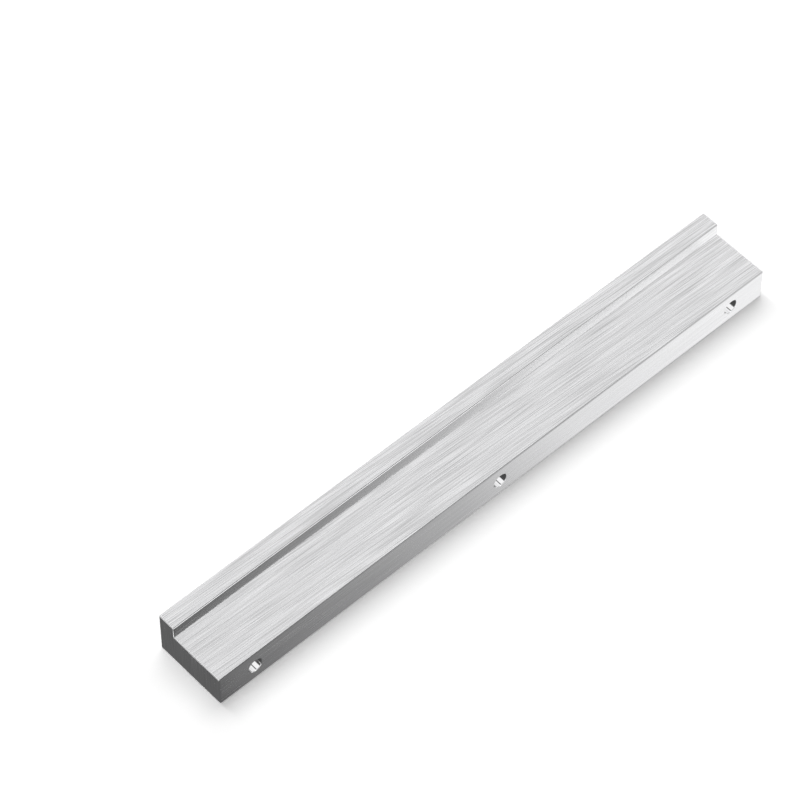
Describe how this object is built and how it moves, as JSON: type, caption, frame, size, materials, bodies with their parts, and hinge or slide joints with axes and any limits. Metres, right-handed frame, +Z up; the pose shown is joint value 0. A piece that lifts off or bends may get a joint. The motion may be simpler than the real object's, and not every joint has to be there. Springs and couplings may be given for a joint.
{
  "type": "cabinet pull",
  "caption": "Solid rebated bar pull: a rectangular web with blind screw holes in its narrow back face, and a finger lip along its front edge.",
  "frame": {"origin": "where the middle screw hole's axis meets the mounting face, which is also the middle of that face", "axes": "+X along the bar, +Y out of the mounting face towards the drawer front, +Z up as the bar lies unheld on its flat side, with the finger lip up"},
  "size_m": [0.219, 0.0262, 0.0165],
  "materials": {
    "brushed_aluminium": "brushed along the bar, and across it on the sawn ends"
  },
  "bodies": {
    "root": {"pull_bar": "brushed_aluminium"}
  },
  "joints": []
}
